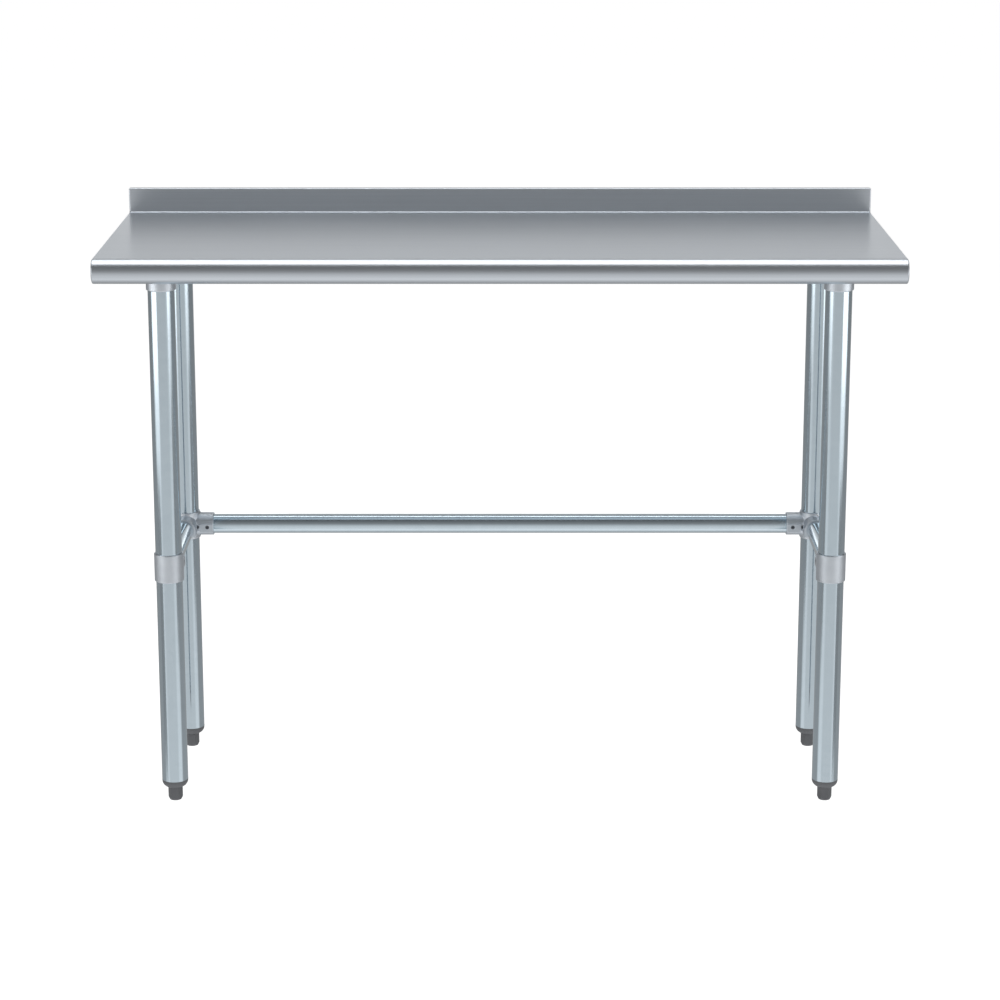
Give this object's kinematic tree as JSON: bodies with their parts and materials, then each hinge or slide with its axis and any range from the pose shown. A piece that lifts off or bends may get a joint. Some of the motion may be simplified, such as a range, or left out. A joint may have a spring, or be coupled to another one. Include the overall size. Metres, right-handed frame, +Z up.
{
  "type": "stainless work table",
  "caption": "Open-base stainless work table: flat top with rolled front edge and low rear upturn on round legs with a three-sided tube brace and levelling feet.",
  "frame": {"origin": "on the floor under the middle of the table", "axes": "+X along the length to the right as seen from the front, +Y from the front edge to the back, +Z up"},
  "size_m": [1.2192, 0.4571, 0.9283],
  "materials": {
    "brushed_stainless": "brushed, fine grain along the length",
    "galvanised_steel": "smooth galvanised, semi-gloss",
    "cast_metal": "fine cast, satin",
    "zinc_fastener": "zinc plated",
    "dark_plastic": "moulded, matt"
  },
  "bodies": {
    "table": {"channel_left": "galvanised_steel", "channel_middle": "galvanised_steel", "channel_right": "galvanised_steel", "foot_insert_front_left": "dark_plastic", "foot_insert_front_right": "dark_plastic", "foot_insert_rear_left": "dark_plastic", "foot_insert_rear_right": "dark_plastic", "foot_nut_front_left": "zinc_fastener", "foot_nut_front_right": "zinc_fastener", "foot_nut_rear_left": "zinc_fastener", "foot_nut_rear_right": "zinc_fastener", "leg_front_left": "galvanised_steel", "leg_front_right": "galvanised_steel", "leg_rear_left": "galvanised_steel", "leg_rear_right": "galvanised_steel", "socket_front_left": "cast_metal", "socket_front_right": "cast_metal", "socket_rear_left": "cast_metal", "socket_rear_right": "cast_metal", "socket_screw_front_left": "zinc_fastener", "socket_screw_front_right": "zinc_fastener", "socket_screw_rear_left": "zinc_fastener", "socket_screw_rear_right": "zinc_fastener", "stud_nuts": "zinc_fastener", "top_sheet": "brushed_stainless", "weld_studs": "zinc_fastener"},
    "brace": {"brace_bar_left": "galvanised_steel", "brace_bar_rear": "galvanised_steel", "brace_bar_right": "galvanised_steel", "clamp_front_left": "cast_metal", "clamp_front_right": "cast_metal", "clamp_rear_left": "cast_metal", "clamp_rear_right": "cast_metal", "clamp_screws_front_left": "zinc_fastener", "clamp_screws_front_right": "zinc_fastener", "clamp_screws_rear_left": "zinc_fastener", "clamp_screws_rear_right": "zinc_fastener"},
    "foot_front_left_stud": {"foot_stud_front_left": "zinc_fastener"},
    "foot_front_left_tip": {"foot_tip_front_left": "dark_plastic"},
    "foot_front_right_stud": {"foot_stud_front_right": "zinc_fastener"},
    "foot_front_right_tip": {"foot_tip_front_right": "dark_plastic"},
    "foot_rear_left_stud": {"foot_stud_rear_left": "zinc_fastener"},
    "foot_rear_left_tip": {"foot_tip_rear_left": "dark_plastic"},
    "foot_rear_right_stud": {"foot_stud_rear_right": "zinc_fastener"},
    "foot_rear_right_tip": {"foot_tip_rear_right": "dark_plastic"}
  },
  "joints": [
    {"name": "brace_height", "type": "slide", "parent": "table", "child": "brace", "axis": [0, 0, 1], "range_m": [-0.3, 0.4]},
    {"name": "foot_lift_front_left", "type": "slide", "parent": "table", "child": "foot_front_left_stud", "axis": [0, 0, -1], "range_m": [0, 0.025]},
    {"name": "foot_turn_front_left", "type": "hinge", "parent": "foot_front_left_stud", "child": "foot_front_left_tip", "pos_m": [-0.5175, -0.1301, 0.01], "axis": [0, 0, -1], "range_deg": [0, 6000]},
    {"name": "foot_lift_front_right", "type": "slide", "parent": "table", "child": "foot_front_right_stud", "axis": [0, 0, -1], "range_m": [0, 0.025]},
    {"name": "foot_turn_front_right", "type": "hinge", "parent": "foot_front_right_stud", "child": "foot_front_right_tip", "pos_m": [0.5175, -0.1301, 0.01], "axis": [0, 0, -1], "range_deg": [0, 6000]},
    {"name": "foot_lift_rear_left", "type": "slide", "parent": "table", "child": "foot_rear_left_stud", "axis": [0, 0, -1], "range_m": [0, 0.025]},
    {"name": "foot_turn_rear_left", "type": "hinge", "parent": "foot_rear_left_stud", "child": "foot_rear_left_tip", "pos_m": [-0.5175, 0.1141, 0.01], "axis": [0, 0, -1], "range_deg": [0, 6000]},
    {"name": "foot_lift_rear_right", "type": "slide", "parent": "table", "child": "foot_rear_right_stud", "axis": [0, 0, -1], "range_m": [0, 0.025]},
    {"name": "foot_turn_rear_right", "type": "hinge", "parent": "foot_rear_right_stud", "child": "foot_rear_right_tip", "pos_m": [0.5175, 0.1141, 0.01], "axis": [0, 0, -1], "range_deg": [0, 6000]}
  ],
  "couplings": [
    {"joint": "foot_turn_front_left", "follows": "foot_lift_front_left", "rad_per_m": 4188.8},
    {"joint": "foot_turn_front_right", "follows": "foot_lift_front_right", "rad_per_m": 4188.8},
    {"joint": "foot_turn_rear_left", "follows": "foot_lift_rear_left", "rad_per_m": 4188.8},
    {"joint": "foot_turn_rear_right", "follows": "foot_lift_rear_right", "rad_per_m": 4188.8}
  ]
}
